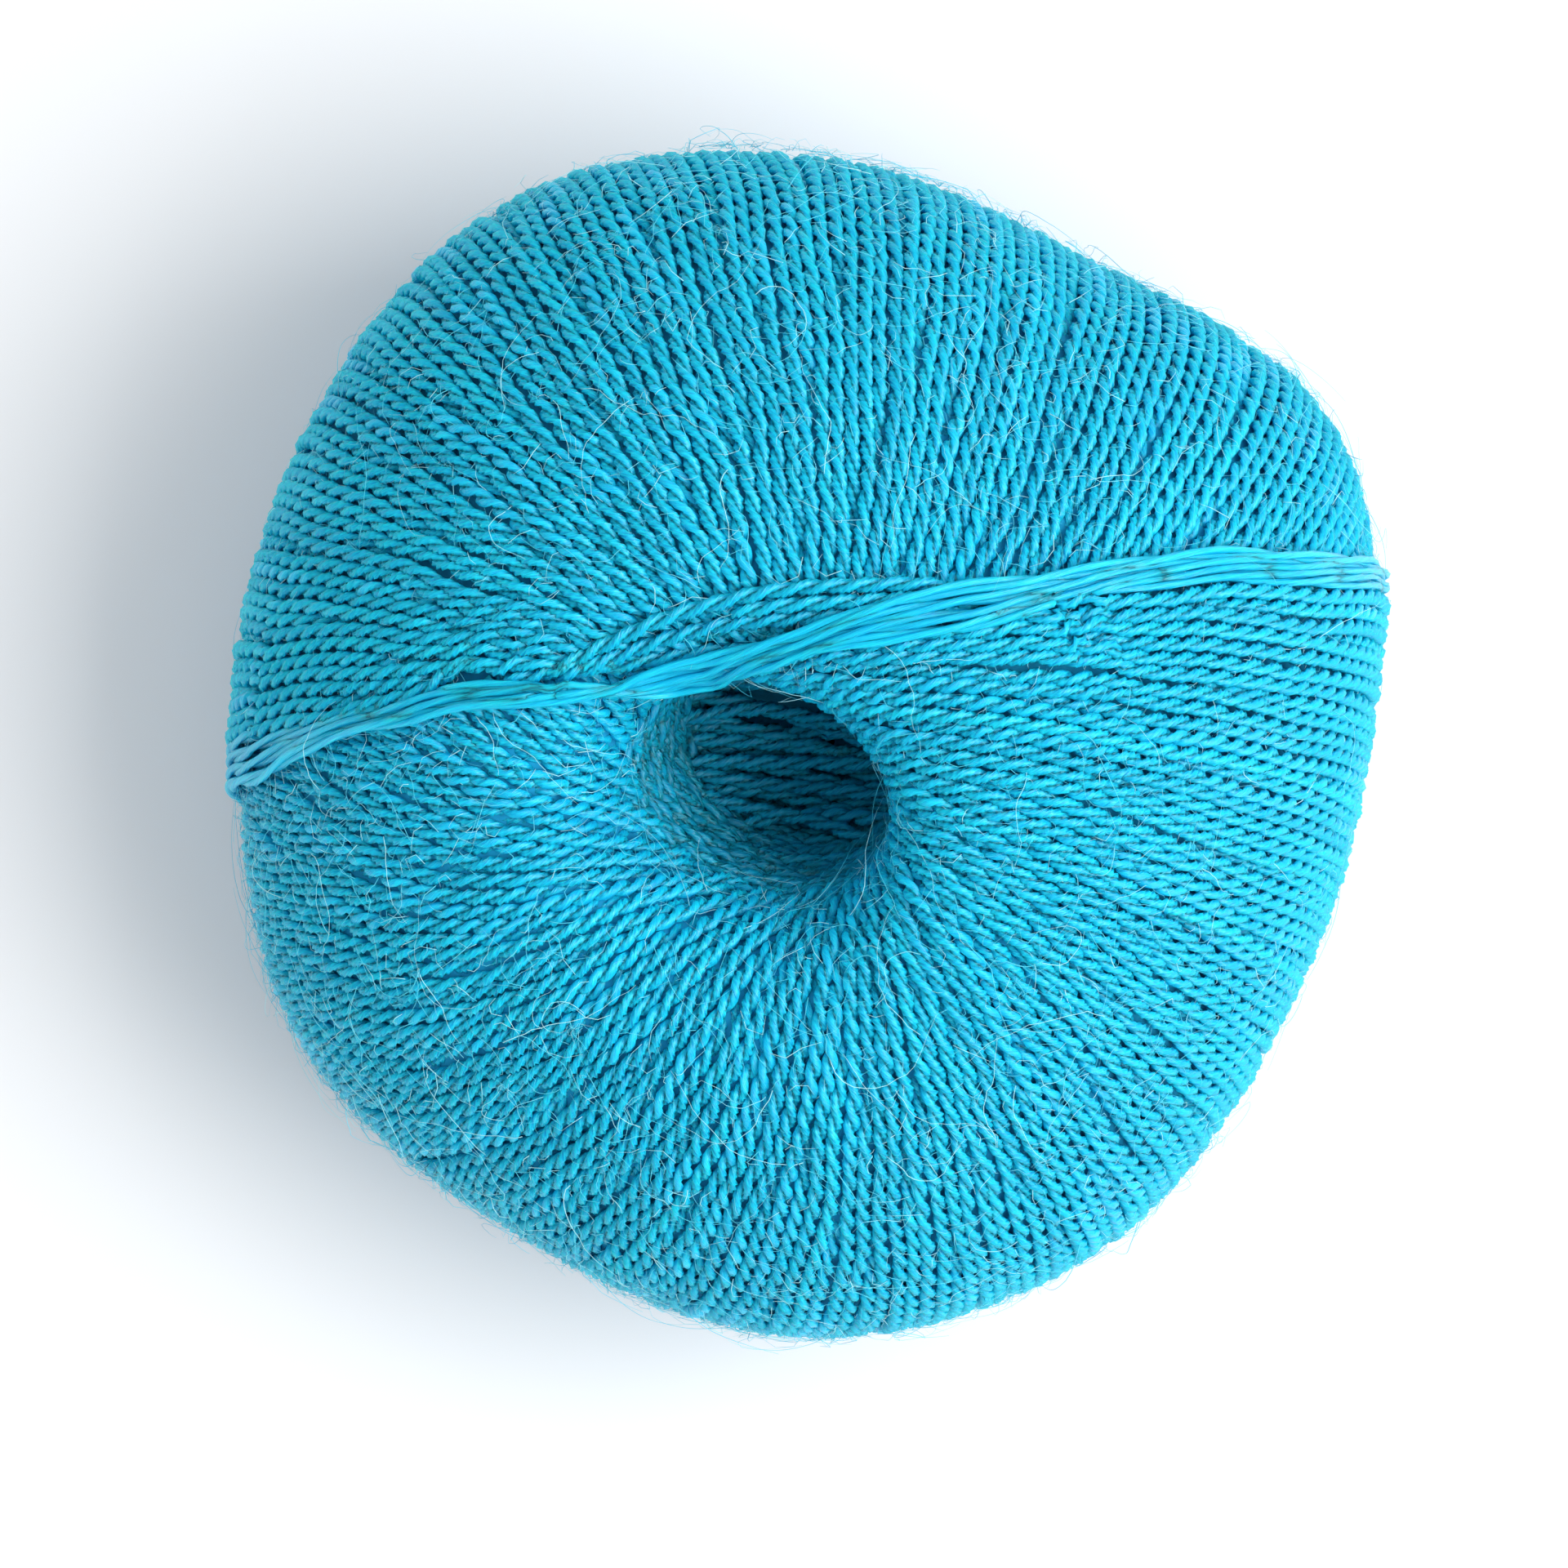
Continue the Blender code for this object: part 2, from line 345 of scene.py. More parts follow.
OLD_SWING = even_swing(HOLE_TURN, HOLE_EASE)
LAP_AGES = np.arange(TURNS_IN_A_LAP) * 2 * math.pi / TURNS_IN_A_LAP
STAGE_AGES = np.radians([stage.age for stage in STAGES])
BAND_LAP = STAGE_AGES[-1]
SKEWS = np.interp(LAP_AGES, STAGE_AGES, np.radians([stage.skew for stage in STAGES]))
SHARES = [np.interp(LAP_AGES, STAGE_AGES, row) for row in np.array(STAGES, float).T[1:-1]]
RIGHT_WAYS = (LAST_RIGHT, RIM_RIGHT, CROSS_RIGHT, OPEN_RIGHT)
LEFT_WAYS = (LAST_LEFT, RIM_LEFT, CROSS_LEFT, OPEN_LEFT)
STARTS = np.array([*(way[0].along for way in RIGHT_WAYS), HOLE_TURN]) @ SHARES


def all_swings(tables):
    """The swing of every turn in a lap, section place by turn: from the last turn's way to the old one."""
    share = np.linspace(0, 1, 600) ** 2
    ways = []
    for table in tables:
        rows = smooth_points(table, WAY_STEPS)
        ways.append(np.interp(share * rows[-1, 1], np.maximum.accumulate(rows[:, 1]), rows[:, 0]))
    ways.append(np.interp(share * MIDDLE_SWING, OLD_SWING[: WIDEST + 1], ALONG[: WIDEST + 1]))
    ways[-1][0] = HOLE_TURN
    reaches = [*(math.radians(table[-1].swing) for table in tables), MIDDLE_SWING]
    swings = []
    for number in range(TURNS_IN_A_LAP):
        if LAP_AGES[number] >= BAND_LAP:
            swings.append(OLD_SWING)
            continue
        way = sum(shares[number] * way for shares, way in zip(SHARES, ways))
        reach = sum(shares[number] * reach for shares, reach in zip(SHARES, reaches))
        upper = np.interp(ALONG, way, share * reach)
        swings.append(np.where(ALONG < ALONG[WIDEST], upper, reach + OLD_SWING - MIDDLE_SWING))
    return np.column_stack(swings)


# The right half of every turn is side -1, and the left half side 1
SWINGS = {-1: all_swings(RIGHT_WAYS), 1: all_swings(LEFT_WAYS)}


def outline_reach(angle):
    """The outline's reach towards an angle, smooth through the table and closed on itself."""
    lap = [[reach] for reach in [OUTLINE_REACH[-1], *OUTLINE_REACH, *OUTLINE_REACH[:2]]]
    curve = smooth_points(lap, OUTLINE_STEPS)[OUTLINE_STEPS : OUTLINE_STEPS * (len(OUTLINE_REACH) + 1), 0]
    share = angle / (2 * math.pi) % 1.0
    return np.interp(share * len(curve), np.arange(len(curve) + 1), np.append(curve, curve[0]))


def lie(points):
    """Widens the hole's mouth, leans its axis over and bulges the cake out to its outline."""
    mouth = np.array([math.cos(MOUTH_TOWARDS), math.sin(MOUTH_TOWARDS)])
    across = np.array([-mouth[1], mouth[0]])
    near = np.exp(-(points[:, 0] ** 2 + points[:, 1] ** 2) / MOUTH_REACH**2)
    wider = np.outer(MOUTH_WIDEN * near * (points[:, :2] @ mouth), mouth)
    narrower = np.outer(MOUTH_NARROW * near * (points[:, :2] @ across), across)
    points = np.column_stack([points[:, :2] + wider - narrower, points[:, 2]])
    towards = np.array([math.cos(LEAN_TOWARDS), math.sin(LEAN_TOWARDS)])
    low, high = HEIGHT.min(), HEIGHT.max()
    angle = LEAN * ease_in_out((points[:, 2] - low) / (high - low))
    forth = points[:, :2] @ towards
    moved = forth * np.cos(angle) + points[:, 2] * np.sin(angle)
    flat = points[:, :2] + np.outer(moved - forth, towards)
    height = points[:, 2] * np.cos(angle) - forth * np.sin(angle)
    reach = np.hypot(flat[:, 0], flat[:, 1])
    bulge = outline_reach(np.arctan2(flat[:, 1], flat[:, 0])) / MIDDLE_RADIUS - 1
    flat *= (1 + bulge * ease_in_out(reach / MIDDLE_RADIUS))[:, None]
    return np.column_stack([flat, height])


def on_form(along, angle, lift):
    """Points over the wound form: place along the section, angle round the axis, height off the skin."""
    radius = np.interp(along, ALONG, RADIUS) + lift * np.interp(along, ALONG, NORMAL_OUT)
    height = np.interp(along, ALONG, HEIGHT) + lift * np.interp(along, ALONG, NORMAL_UP)
    return lie(np.column_stack([radius * np.cos(angle), radius * np.sin(angle), height]))


def lowest_point():
    """The height of the form's lowest place before it is settled."""
    rounds = np.radians(range(0, 360, 10))
    return min(on_form(ALONG, np.full(len(ALONG), angle), 0.0)[:, 2].min() for angle in rounds)


def middle_point():
    """The middle of the widest ring's outline."""
    angle = np.linspace(0, 2 * math.pi, 361)
    across, along = MIDDLE_RADIUS * np.cos(angle), MIDDLE_RADIUS * np.sin(angle)
    ring = lie(np.column_stack([across, along, np.zeros(len(angle))]))
    return (ring.min(axis=0) + ring.max(axis=0)) / 2


LOWEST = lowest_point() + BASE_PRESS
MIDDLE = middle_point()


def settle(points, clearance):
    """Stands the points on the surface, pressed flat at the base, with the origin under the middle."""
    points = points - [MIDDLE[0], MIDDLE[1], LOWEST]
    points[:, 2] = np.maximum(points[:, 2], clearance)
    return points


def dive_rank(count):
    """Evenly scattered ranks between 0 and 1, the first the lowest: who slips under last."""
    ranks = np.zeros(count)
    share = 0.5
    index = np.arange(count)
    while index.any():
        ranks += share * (index % 2)
        index //= 2
        share /= 2
    return ranks


def crowding(side):
    """For each place along the section and each turn: how much it shows, and its settled age."""
    lap = np.arange(TURNS_IN_A_LAP)
    place = LAP_AGES - SKEWS - side * SWINGS[side]
    slope = RADIUS[:, None] * np.gradient(SWINGS[side], ALONG, axis=0)
    step = np.diff(place, axis=1)
    step = np.column_stack([step, np.full(len(step), LAP_AGES[1])])
    apart = RADIUS[:, None] * np.abs(step) / np.sqrt(1 + slope**2)
    near_start = np.exp(-(((ALONG[:, None] - STARTS) / LEVEL_REACH) ** 2))
    level = np.abs(np.diff(STARTS, append=STARTS[-1])) * near_start
    width = np.where(lap < len(TAUT_TURNS), TAUT_WIDTH, STRAND_WIDTH)
    room = np.clip(np.maximum(apart, level) / width, LEAST_ROOM, 1.0)
    shown = ease_in_out((room - dive_rank(TURNS_IN_A_LAP)) / DIVE_BLEND + 0.5)
    shown[:, 0] = 1.0
    crush = np.cumsum(shown - room, axis=1) - (shown - room) / 2
    crush -= crush[:, -1:] * lap / TURNS_IN_A_LAP
    away = (lap + TURNS_IN_A_LAP / 2) % TURNS_IN_A_LAP - TURNS_IN_A_LAP / 2
    near = np.exp(-(away**2) / (2 * EVEN_OVER**2))
    near /= near.sum()
    crush -= np.fft.irfft(np.fft.rfft(crush, axis=1) * np.fft.rfft(near), TURNS_IN_A_LAP, axis=1)
    crush -= crush[:, :1] * np.exp(-lap / EVEN_OVER)
    shift = np.clip(crush / np.maximum(room, 0.15), -MOST_SHIFT, MOST_SHIFT) * LAP_AGES[1]
    return shown, LAP_AGES + shift * np.where(apart > level, 1.0, 0.0)


CROWD = {side: crowding(side) for side in (-1, 1)}


def turn_path(number, side):
    """One half of a turn, from its level stretch by the hole to the dimple: along, angle, lift, shown."""
    shares, ages = CROWD[side]
    share, age = shares[:, number], ages[:, number]
    gone = SWINGS[side][:, number]
    tuck = TUCK / np.maximum(RADIUS, 5.0)
    place = age - SKEWS[number]
    if side < 0:
        open_to_view = place + gone < 2 * math.pi - SKEWS[0] - SWINGS[1][:, 0] + tuck
    else:
        open_to_view = place - gone < SWINGS[-1][:, 0] - SKEWS[0] + tuck
    keep = (ALONG >= STARTS[number]) & (ALONG <= DIMPLE_TURN)
    shown = share * open_to_view
    sink = STRAND_WIDTH * 1.1 * np.sqrt(np.clip(1 - ((1 + share) / 2) ** 2, 0, None))
    crest = 1.0 if LAP_AGES[number] < CREST_AGE else 0.0
    pile = crest * CREST_LIFT * np.exp(-(((ALONG - STARTS[number]) / CREST_REACH) ** 2))
    lift = BAND_LIFT * np.exp(-age / BAND_FADE) + pile - sink
    angle = LAST_TURN - place + side * gone
    return ALONG[keep], angle[keep], lift[keep], shown[keep]


Strand = namedtuple("Strand", "points normals along taut")


def wander(length, size, scale):
    """A slow random drift along a strand."""
    knots = random.normal(0, size, max(4, int(length[-1] / scale) + 3))
    return np.interp(length / scale, np.arange(len(knots)), knots)


def strand_from(along, angle, lift, step, number):
    """A strand of one turn at even steps of its length, or None where it is too short to show."""
    line = on_form(along, angle, lift)
    length = np.append(0.0, np.cumsum(np.linalg.norm(np.diff(line, axis=0), axis=1)))
    if length[-1] < SHORTEST_STRAND:
        return None
    even = np.linspace(0, length[-1], max(4, int(length[-1] / step)))
    along, angle, lift = (np.interp(even, length, v) for v in (along, angle, lift))
    radius = np.maximum(np.interp(along, ALONG, RADIUS), 4.0)
    taut = ease_in_out((TAUT_FROM - angle) / 0.5) * (number in TAUT_TURNS)
    angle = angle + wander(even, WANDER_ACROSS, 9.0) / radius * (1 - TAUT_CALM * taut)
    lift = lift + wander(even, WANDER_OUT, 11.0) * (1 - TAUT_CALM * taut)
    points = settle(on_form(along, angle, lift - STRAND_INSET), STRAND_REACH)
    above = settle(on_form(along, angle, lift - STRAND_INSET + 0.5), STRAND_REACH + 0.25)
    normals = above - points
    normals /= np.linalg.norm(normals, axis=1)[:, None]
    return Strand(points, normals, even, taut)


def runs(mask):
    """The stretches where the mask holds, as start and end."""
    edges = np.flatnonzero(np.diff(np.concatenate([[0], mask.astype(int), [0]])))
    return zip(edges[::2], edges[1::2])


def wound_strands():
    """Every visible stretch of the outer turns, sorted into the pieces that they make."""
    groups = {"last_turns": [], "upper_turns": [], "base_turns": []}
    last_number = int(math.degrees(BAND_LAP) / 360 * TURNS_IN_A_LAP)
    for number in range(TURNS_IN_A_LAP):
        back = turn_path(number, 1)
        front = turn_path(number, -1)
        along, angle, lift, shown = (np.concatenate([b[::-1], f[1:]]) for b, f in zip(back, front))
        upper_name = "last_turns" if number < last_number else "upper_turns"
        for start, end in runs(shown > LEAST_SHOWN):
            low = along[start:end] > ALONG[WIDEST] + BASE_BELOW
            for name, mask, step in ((upper_name, ~low, UPPER_STEP), ("base_turns", low, BASE_STEP)):
                for first, last in runs(mask):
                    part = slice(start + first, min(start + last + 1, end))
                    strand = strand_from(along[part], angle[part], lift[part], step, number)
                    if strand is not None:
                        groups[name].append(strand)
    return groups


def wall_strands():
    """The older turns that show down the hole: level stretches round its wall."""
    strands = []
    share = np.linspace(-1, 1, HOLE_STEPS)
    for lap in range(HOLE_LAPS):
        level = HOLE_TURN - WALL_TOP - (HOLE_TURN - WALL_END) * lap / HOLE_LAPS
        for number in range(HOLE_LAP_STRANDS):
            place = number + 0.5 * (lap % 2) + random.uniform(-0.25, 0.25)
            middle = 2 * math.pi * place / HOLE_LAP_STRANDS
            reach = random.uniform(0.75, 1.05)
            along = level + random.uniform(-0.5, 0.5) + WALL_SAG * share**2 + WALL_SLANT * share
            lift = random.uniform(-0.25, 0.2) - 0.8 * share**2
            strands.append(strand_from(along, middle + reach * share, lift, UPPER_STEP, TURNS_IN_A_LAP))
    return strands


def floor_strands():
    """The loose strands across the floor of the hole."""
    strands = []
    share = np.linspace(-1, 1, HOLE_STEPS)
    for number in range(FLOOR_STRANDS):
        heading = random.normal(-0.05, 0.13)
        off = FLOOR_REACH * (2 * (number + 0.5) / FLOOR_STRANDS - 1) + random.uniform(-0.3, 0.3)
        forth = math.sqrt(FLOOR_RADIUS**2 - off**2) * share
        side = off + random.normal(0, 0.5) * np.cos(1.5 * share) + random.normal(0, 0.25) * np.sin(4 * share)
        height = random.uniform(3.6, 6.6) + FLOOR_RISE * share**2
        flat = np.column_stack([
            forth * math.cos(heading) - side * math.sin(heading),
            forth * math.sin(heading) + side * math.cos(heading),
            height,
        ])
        points = settle(lie(flat), 0.5)
        length = np.append(0.0, np.cumsum(np.linalg.norm(np.diff(points, axis=0), axis=1)))
        even = np.linspace(0, length[-1], int(length[-1] / UPPER_STEP))
        points = np.column_stack([np.interp(even, length, points[:, i]) for i in range(3)])
        up = np.tile([0.0, 0.0, 1.0], (len(points), 1))
        strands.append(Strand(points, up, even, np.zeros(len(even))))
    return strands


def hair_lines(kind):
    """The middle lines of hairs that leave the strands, curl over them and end free, spread evenly."""
    count, rings = kind.count, kind.rings
    share = np.linspace(0, 1, rings)
    shows = (ALONG > HOLE_TURN + HAIRS_PAST_RIM) & (ALONG < ALONG[WIDEST] + HAIRS_BELOW)
    weight = np.where(shows, np.maximum(RADIUS, 0.5), 0.0)
    start = np.interp(random.random(count), np.cumsum(weight) / weight.sum(), ALONG)
    angle = random.uniform(0, 2 * math.pi, count)
    length = np.exp(random.uniform(math.log(kind.shortest), math.log(kind.longest), count))
    heading = random.uniform(0, 2 * math.pi, count)[:, None]
    heading = heading + np.cumsum(random.normal(0, HAIR_CURL / math.sqrt(rings), (count, rings)), axis=1)
    heading = heading + random.normal(0, HAIR_BEND, count)[:, None] * share
    step = (length / (rings - 1))[:, None]
    along = start[:, None] + np.cumsum(np.cos(heading) * step, axis=1)
    near = np.maximum(np.interp(along, ALONG, RADIUS), 5.0)
    round_on = angle[:, None] + np.cumsum(np.sin(heading) * step / near, axis=1)
    rise = np.exp(random.uniform(math.log(kind.lowest), math.log(kind.highest), count))
    arch = random.uniform(0.0, 1.0, count)[:, None]
    lift = rise[:, None] * ((1 - arch) * share + arch * np.sin(math.pi * share * 0.9))
    along = np.clip(along, 2.0, ALONG[-1] - 2.0)
    age = (LAST_TURN - round_on) % (2 * math.pi)
    band = BAND_LIFT * np.exp(-age / BAND_FADE) * 0.5
    middle = settle(on_form(along.ravel(), round_on.ravel(), (lift + band + 0.1).ravel()), 0.1)
    return middle.reshape(count, rings, 3)


def hair_tubes(kind):
    """The hairs as thin three-sided tubes that taper: points, faces, texture places and tones."""
    middle = hair_lines(kind)
    count, rings = kind.count, kind.rings
    tangent = np.gradient(middle, axis=1)
    tangent /= np.linalg.norm(tangent, axis=2)[:, :, None] + 1e-9
    side = np.cross(tangent, [0.31, 0.17, 0.94])
    side /= np.linalg.norm(side, axis=2)[:, :, None] + 1e-9
    other = np.cross(tangent, side)
    taper = 1 - 0.7 * np.linspace(0, 1, rings)
    thick = HAIR_RADIUS * random.uniform(0.6, 1.3, count)[:, None] * taper
    corners = []
    for turn in np.arange(3) * 2 * math.pi / 3:
        corners.append(middle + thick[:, :, None] * (side * math.cos(turn) + other * math.sin(turn)))
    points = np.stack(corners, axis=2).reshape(-1, 3)
    first = (np.arange(count) * rings * 3)[:, None, None]
    ring = (np.arange(rings - 1) * 3)[None, :, None]
    corner = np.arange(3)[None, None, :]
    here = first + ring + corner
    beside = first + ring + (corner + 1) % 3
    quads = np.stack([here, beside, beside + 3, here + 3], axis=-1).reshape(-1, 4)
    base = np.arange(count)[:, None] * rings * 3
    caps = np.vstack([base + [2, 1, 0], base + (rings - 1) * 3 + [0, 1, 2]])
    tones = np.repeat(random.normal(0, 1, count), rings * 3)
    return points, quads, caps, points.copy(), tones


def hair_material():
    """Fine pale hairs of the yarn."""
    material = bpy.data.materials.new("pale_hair")
    material.use_nodes = True
    nodes, links = material.node_tree.nodes, material.node_tree.links
    shader = nodes["Principled BSDF"]
    tone = attribute(nodes, "tone")
    ramp = nodes.new("ShaderNodeValToRGB")
    ramp.color_ramp.elements[0].color = (0.08, 0.74, 0.92, 1.0)
    ramp.color_ramp.elements[1].color = (0.5, 0.97, 1.0, 1.0)
    links.new(tone.outputs["Fac"], ramp.inputs["Fac"])
    links.new(ramp.outputs["Color"], shader.inputs["Base Color"])
    shader.inputs["Roughness"].default_value = 0.5
    shader.inputs["Specular IOR Level"].default_value = 0.8
    return material


def ply_tubes(strands, sides, painted_shade_tone):
    """Both plies of every strand as closed twisted tubes: points, faces, texture places and tones."""
    points, quads, caps, places, tones = [], [], [], [], []
    count = 0
    around = np.arange(sides) * 2 * math.pi / sides
    for strand in strands:
        tangent = np.gradient(strand.points, axis=0)
        tangent /= np.linalg.norm(tangent, axis=1)[:, None]
        normal = strand.normals - tangent * np.sum(strand.normals * tangent, axis=1)[:, None]
        normal /= np.linalg.norm(normal, axis=1)[:, None]
        right = np.cross(tangent, normal)
        rate = random.uniform(0.9, 1.1) * np.gradient(strand.along) / TWIST_LENGTH
        rate *= 1 - TAUT_LOSS * strand.taut
        thick = PLY_RADIUS * (1 - TAUT_THIN * strand.taut)[:, None, None]
        phase = random.uniform(0, 2 * math.pi)
        shift = random.uniform(0, GRAIN_SHIFT)
        # a strand's tone differs at random about the given mean, and down the hole that mean is painted
        # shade
        strand_tone_and_shade = random.normal(painted_shade_tone, 1)
        turn = phase + 2 * math.pi * np.cumsum(rate) + wander(strand.along, TWIST_WANDER, 6.0)
        for ply in (0.0, math.pi):
            theta = turn + ply
            offset = normal * np.cos(theta)[:, None] - right * np.sin(theta)[:, None]
            middle = strand.points + offset * PLY_OFFSET
            ring = theta[:, None] + around
            tube = middle[:, None, :] + thick * (
                normal[:, None, :] * np.cos(ring)[:, :, None] - right[:, None, :] * np.sin(ring)[:, :, None]
            )
            rings = len(tube)
            base = count + np.arange(rings - 1)[:, None] * sides + np.arange(sides)
            side_on = count + np.arange(rings - 1)[:, None] * sides + (np.arange(sides) + 1) % sides
            quads.append(np.stack([base, base + sides, side_on + sides, side_on], axis=-1).reshape(-1, 4))
            caps.append(count + np.arange(sides))
            caps.append(count + (rings - 1) * sides + np.arange(sides)[::-1])
            points.append(tube.reshape(-1, 3))
            grain = around[None, :] - 0.5 * theta[:, None]
            place = np.stack([
                np.repeat(strand.along[:, None] + shift + ply * PLY_SHIFT, sides, axis=1),
                PLY_RADIUS * np.cos(grain),
                PLY_RADIUS * np.sin(grain),
            ], axis=-1)
            places.append(place.reshape(-1, 3))
            tones.append(np.full(rings * sides, strand_tone_and_shade + PLY_TONE * random.normal()))
            count += rings * sides
    return np.vstack(points), np.vstack(quads), np.array(caps), np.vstack(places), np.concatenate(tones)


def mesh_piece(name, points, quads, caps, places, tones, material):
    """A mesh object from arrays in mm, with its texture places and tones as attributes."""
    mesh = bpy.data.meshes.new(name)
    corners = np.concatenate([quads.ravel(), caps.ravel()])
    sizes = np.concatenate([np.full(len(quads), 4), np.full(len(caps), caps.shape[1])])
    mesh.vertices.add(len(points))
    mesh.loops.add(len(corners))
    mesh.polygons.add(len(sizes))
    mesh.vertices.foreach_set("co", (points * MM).ravel())
    mesh.loops.foreach_set("vertex_index", corners.astype(np.int32))
    mesh.polygons.foreach_set("loop_start", np.concatenate([[0], np.cumsum(sizes)[:-1]]).astype(np.int32))
    mesh.update(calc_edges=True)
    mesh.attributes.new("place", "FLOAT_VECTOR", "POINT").data.foreach_set("vector", places.ravel())
    mesh.attributes.new("tone", "FLOAT", "POINT").data.foreach_set("value", tones)
    mesh.shade_smooth()
    mesh.materials.append(material)
    piece = bpy.data.objects.new(name, mesh)
    bpy.context.scene.collection.objects.link(piece)
    return piece


def attribute(nodes, name):
    """An attribute node that reads one of the mesh's own attributes."""
    node = nodes.new("ShaderNodeAttribute")
    node.attribute_name = name
    return node


def yarn_material():
    """Soft twisted plies: streaks along the fibres, a little tone from strand to strand, and painted shade
    on the strands down the hole.
    """
    material = bpy.data.materials.new("turquoise_strand")
    material.use_nodes = True
    nodes, links = material.node_tree.nodes, material.node_tree.links
    shader = nodes["Principled BSDF"]
    place, tone = attribute(nodes, "place"), attribute(nodes, "tone")
    stretch = nodes.new("ShaderNodeMapping")
    stretch.inputs["Scale"].default_value = (0.55, 8.5, 8.5)
    links.new(place.outputs["Vector"], stretch.inputs["Vector"])
    fibres = nodes.new("ShaderNodeTexNoise")
    fibres.inputs["Scale"].default_value = 1.0
    fibres.inputs["Detail"].default_value = 2.0
    links.new(stretch.outputs["Vector"], fibres.inputs["Vector"])
    ramp = nodes.new("ShaderNodeValToRGB")
    ramp.color_ramp.elements[0].position = 0.3
    ramp.color_ramp.elements[0].color = (0.0, 0.41, 0.76, 1.0)
    ramp.color_ramp.elements[1].position = 0.74
    ramp.color_ramp.elements[1].color = (0.01, 0.70, 0.98, 1.0)
    links.new(fibres.outputs["Fac"], ramp.inputs["Fac"])
    # the tone scales the value: random tone from strand to strand, and painted shade on the strands down the
    # hole
    scaled = nodes.new("ShaderNodeMath")
    scaled.operation = "MULTIPLY_ADD"
    scaled.inputs[1].default_value = 0.05
    scaled.inputs[2].default_value = 1.0
    links.new(tone.outputs["Fac"], scaled.inputs[0])
    toned = nodes.new("ShaderNodeHueSaturation")
    links.new(scaled.outputs["Value"], toned.inputs["Value"])
    links.new(ramp.outputs["Color"], toned.inputs["Color"])
    links.new(toned.outputs["Color"], shader.inputs["Base Color"])
    bump = nodes.new("ShaderNodeBump")
    bump.inputs["Strength"].default_value = 0.8
    bump.inputs["Distance"].default_value = 0.00013
    links.new(fibres.outputs["Fac"], bump.inputs["Height"])
    links.new(bump.outputs["Normal"], shader.inputs["Normal"])
    shader.inputs["Roughness"].default_value = 0.36
    shader.inputs["Specular IOR Level"].default_value = 0.85
    shader.inputs["Specular Tint"].default_value = (0.7, 0.95, 1.0, 1.0)
    shader.inputs["Subsurface Weight"].default_value = 0.8
    shader.inputs["Subsurface Radius"].default_value = (0.1, 0.7, 0.72)
    shader.inputs["Subsurface Scale"].default_value = 0.001
    return material


def under_material():
    """The older layers, seen only in the gaps and down the hole: the same yarn, coloured darker than the
    strands as painted shade.
    """
    material = bpy.data.materials.new("under_layers_painted_shade")
    material.use_nodes = True
    nodes, links = material.node_tree.nodes, material.node_tree.links
    shader = nodes["Principled BSDF"]
    place = nodes.new("ShaderNodeTexCoord")
    noise = nodes.new("ShaderNodeTexNoise")
    noise.inputs["Scale"].default_value = 1400.0
    noise.inputs["Detail"].default_value = 4.0
    links.new(place.outputs["Object"], noise.inputs["Vector"])
    ramp = nodes.new("ShaderNodeValToRGB")
    # painted shade: darker than the yarn's own colour, for the shade in the gaps between the strands
    ramp.color_ramp.elements[0].color = (0.0, 0.21, 0.40, 1.0)
    ramp.color_ramp.elements[1].color = (0.0, 0.45, 0.74, 1.0)
    links.new(noise.outputs["Fac"], ramp.inputs["Fac"])
    links.new(ramp.outputs["Color"], shader.inputs["Base Color"])
    shader.inputs["Roughness"].default_value = 0.9
    return material


def under_layers(material):
    """The closed body of older turns under the visible ones."""
    columns = UNDER_COLUMNS
    picks = np.arange(0, len(ALONG), UNDER_ROW)
    picks[-1] = len(ALONG) - 1
    angle = np.arange(columns) * 2 * math.pi / columns
    along = np.repeat(ALONG[picks[1:-1]], columns)
    skin = settle(on_form(along, np.tile(angle, len(picks) - 2), -UNDER_DEPTH), 0.3)
    ends = settle(on_form(ALONG[picks[[0, -1]]], np.zeros(2), -UNDER_DEPTH), 0.3)
    points = np.vstack([skin, ends])
    rows = len(picks) - 2
    here = np.arange(rows - 1)[:, None] * columns + np.arange(columns)
    beside = np.arange(rows - 1)[:, None] * columns + (np.arange(columns) + 1) % columns
    quads = np.stack([here, beside, beside + columns, here + columns], axis=-1).reshape(-1, 4)
    turn = np.arange(columns)
    first, last = len(skin), len(skin) + 1
    top = np.column_stack([np.full(columns, first), (turn + 1) % columns, turn])
    tail = (rows - 1) * columns
    bottom = np.column_stack([np.full(columns, last), tail + turn, tail + (turn + 1) % columns])
    fans = np.vstack([top, bottom])
    places = points.copy()
    return mesh_piece("under_layers", points, quads[:, ::-1], fans, places, np.zeros(len(points)), material)


def white_surface():
    """The plain white surface under the cake."""
    bpy.ops.object.select_all(action="DESELECT")
    bpy.ops.mesh.primitive_plane_add(size=SURFACE_SIZE, location=(0, 0, 0))
    surface = bpy.context.object
    surface.name = "white_surface"
    paper = bpy.data.materials.new("white_surface")
    paper.use_nodes = True
    shader = paper.node_tree.nodes["Principled BSDF"]
    shader.inputs["Base Color"].default_value = (0.83, 0.835, 0.84, 1.0)
    shader.inputs["Roughness"].default_value = 0.9
    shader.inputs["Specular IOR Level"].default_value = 0.0
    surface.data.materials.append(paper)


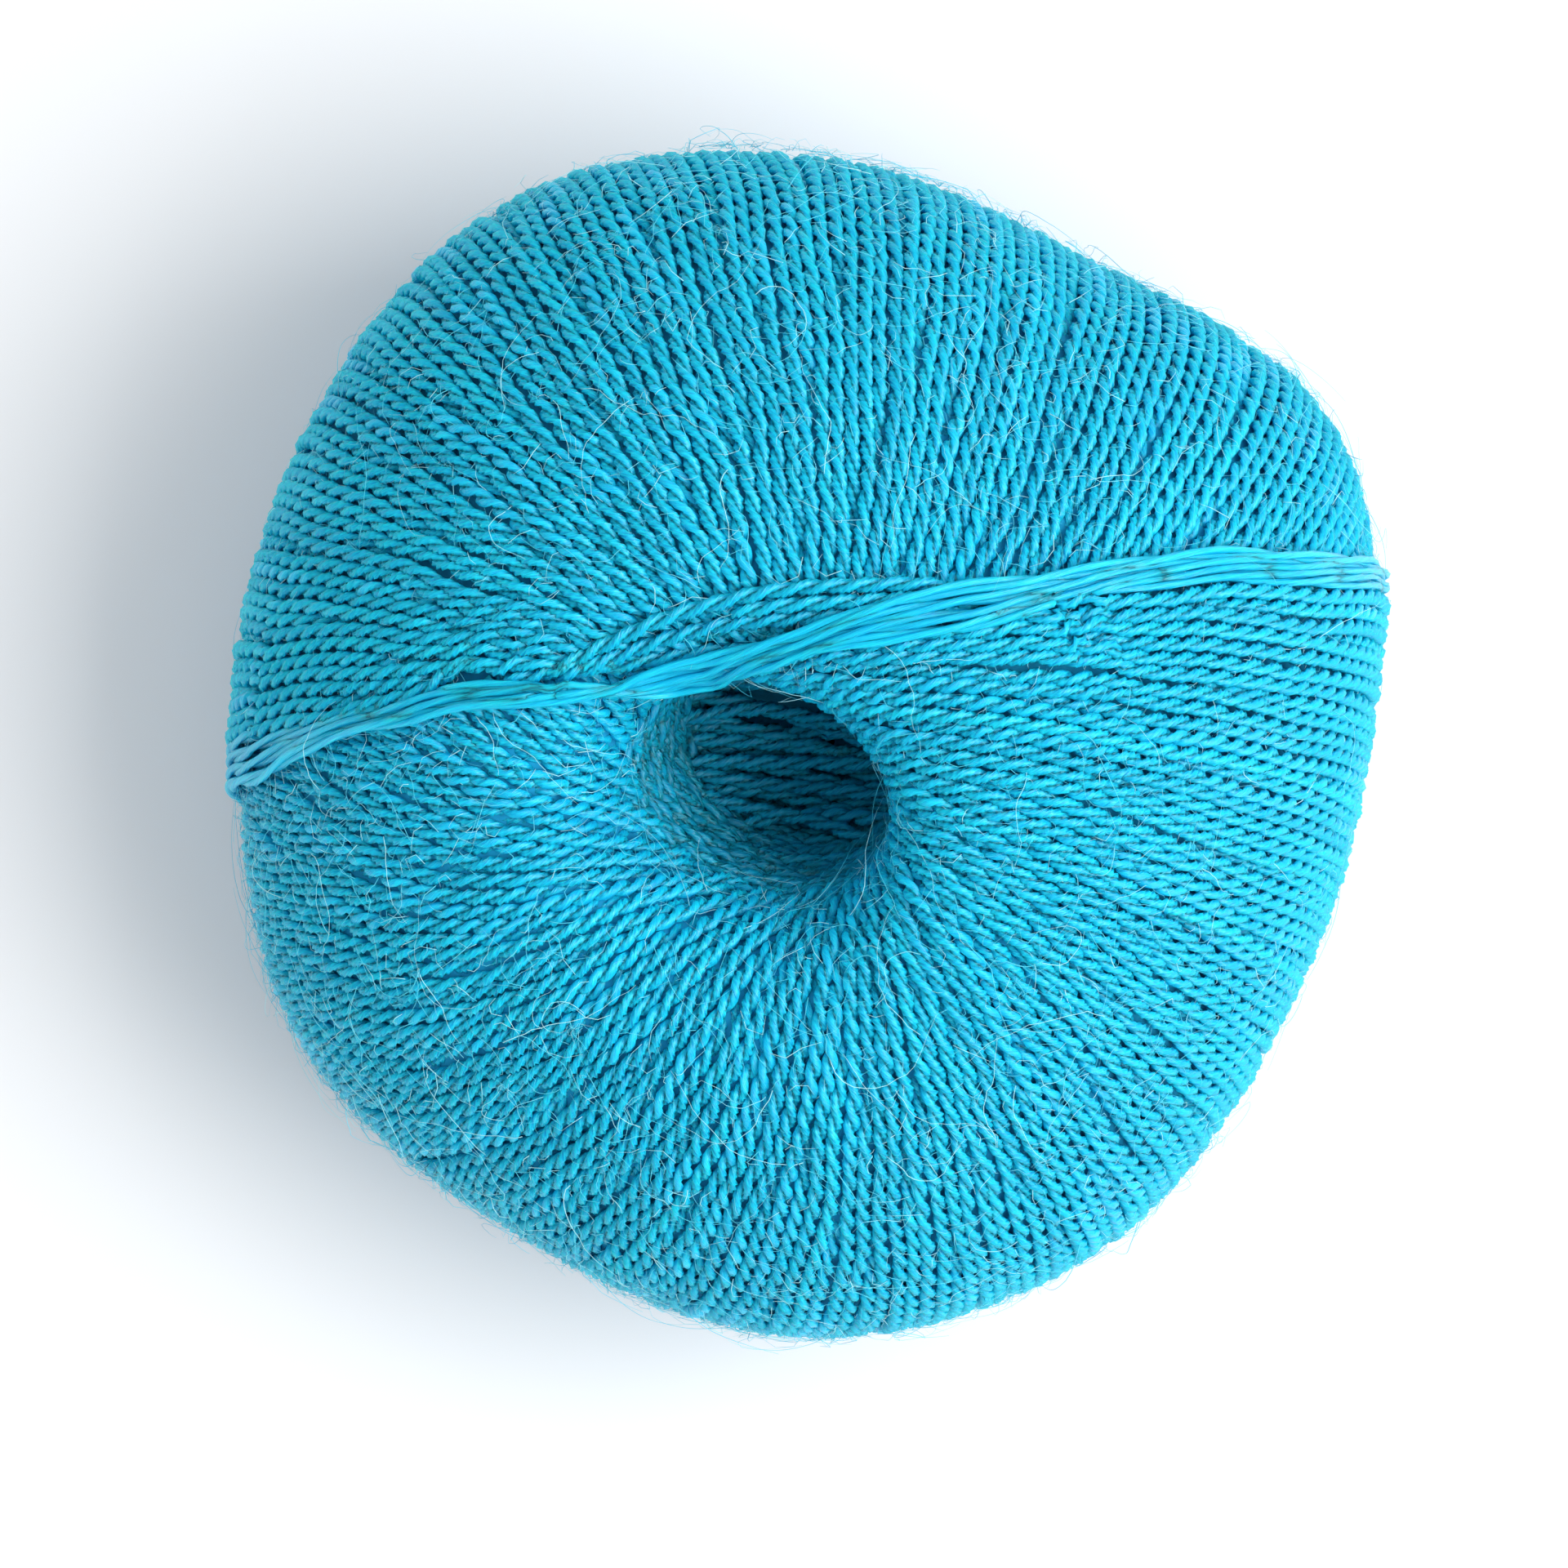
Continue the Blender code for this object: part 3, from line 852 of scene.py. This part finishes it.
def soft_light():
    """A pale room and one large soft window, high on the right."""
    scene = bpy.context.scene
    world = bpy.data.worlds.new("soft_studio")
    world.use_nodes = True
    world.node_tree.nodes["Background"].inputs["Color"].default_value = (0.965, 0.98, 1.0, 1.0)
    world.node_tree.nodes["Background"].inputs["Strength"].default_value = ROOM_LIGHT
    world.cycles_visibility.glossy = False
    scene.world = world
    light = bpy.data.lights.new("window", "AREA")
    light.shape = "RECTANGLE"
    light.size, light.size_y = WINDOW_SIZE
    light.energy = WINDOW_POWER
    lamp = bpy.data.objects.new("window", light)
    lamp.location = WINDOW_PLACE
    lamp.rotation_euler = WINDOW_TILT
    scene.collection.objects.link(lamp)


def camera_above():
    """The camera, straight above the cake."""
    scene = bpy.context.scene
    camera = bpy.data.cameras.new("camera")
    camera.lens = LENS
    camera.sensor_width = SENSOR
    camera.clip_start = 0.01
    view = bpy.data.objects.new("camera", camera)
    view.location = (AIM[0], AIM[1], AIM[2] + PICTURE_WIDTH * LENS / SENSOR)
    scene.collection.objects.link(view)
    scene.camera = view
    scene.view_settings.view_transform = "Standard"


def strand_pieces(name, strands, material):
    """The strands of one group as one piece, or as several where they are many."""
    sides = BASE_SIDES if name == "base_turns" else UPPER_SIDES
    # the strands down the hole get a lower tone as painted shade
    tone = HOLE_PAINTED_SHADE if name == "turns_in_the_hole" else 0.0
    total = sum(4 * sides * len(strand.points) for strand in strands)
    parts = np.array_split(np.arange(len(strands)), math.ceil(total / PIECE_TRIANGLES))
    pieces = []
    for number, picks in enumerate(parts, 1):
        label = name if len(parts) == 1 else f"{name}_{number}"
        tubes = ply_tubes([strands[pick] for pick in picks], sides, tone)
        pieces.append(mesh_piece(label, *tubes, material))
    return pieces


def main():
    """Builds every piece, puts it in the solid's place and sets the picture."""
    yarn = yarn_material()
    groups = wound_strands()
    groups["turns_in_the_hole"] = wall_strands() + floor_strands()
    pieces = []
    for name, strands in groups.items():
        pieces += strand_pieces(name, strands, yarn)
    pieces.append(under_layers(under_material()))
    hairs = hair_material()
    pieces.append(mesh_piece("short_hairs", *hair_tubes(SHORT_HAIRS), hairs))
    pieces.append(mesh_piece("long_hairs", *hair_tubes(LONG_HAIRS), hairs))
    for piece in pieces:
        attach(piece, "root")
        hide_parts("wound_yarn")
    white_surface()
    soft_light()
    camera_above()


main()
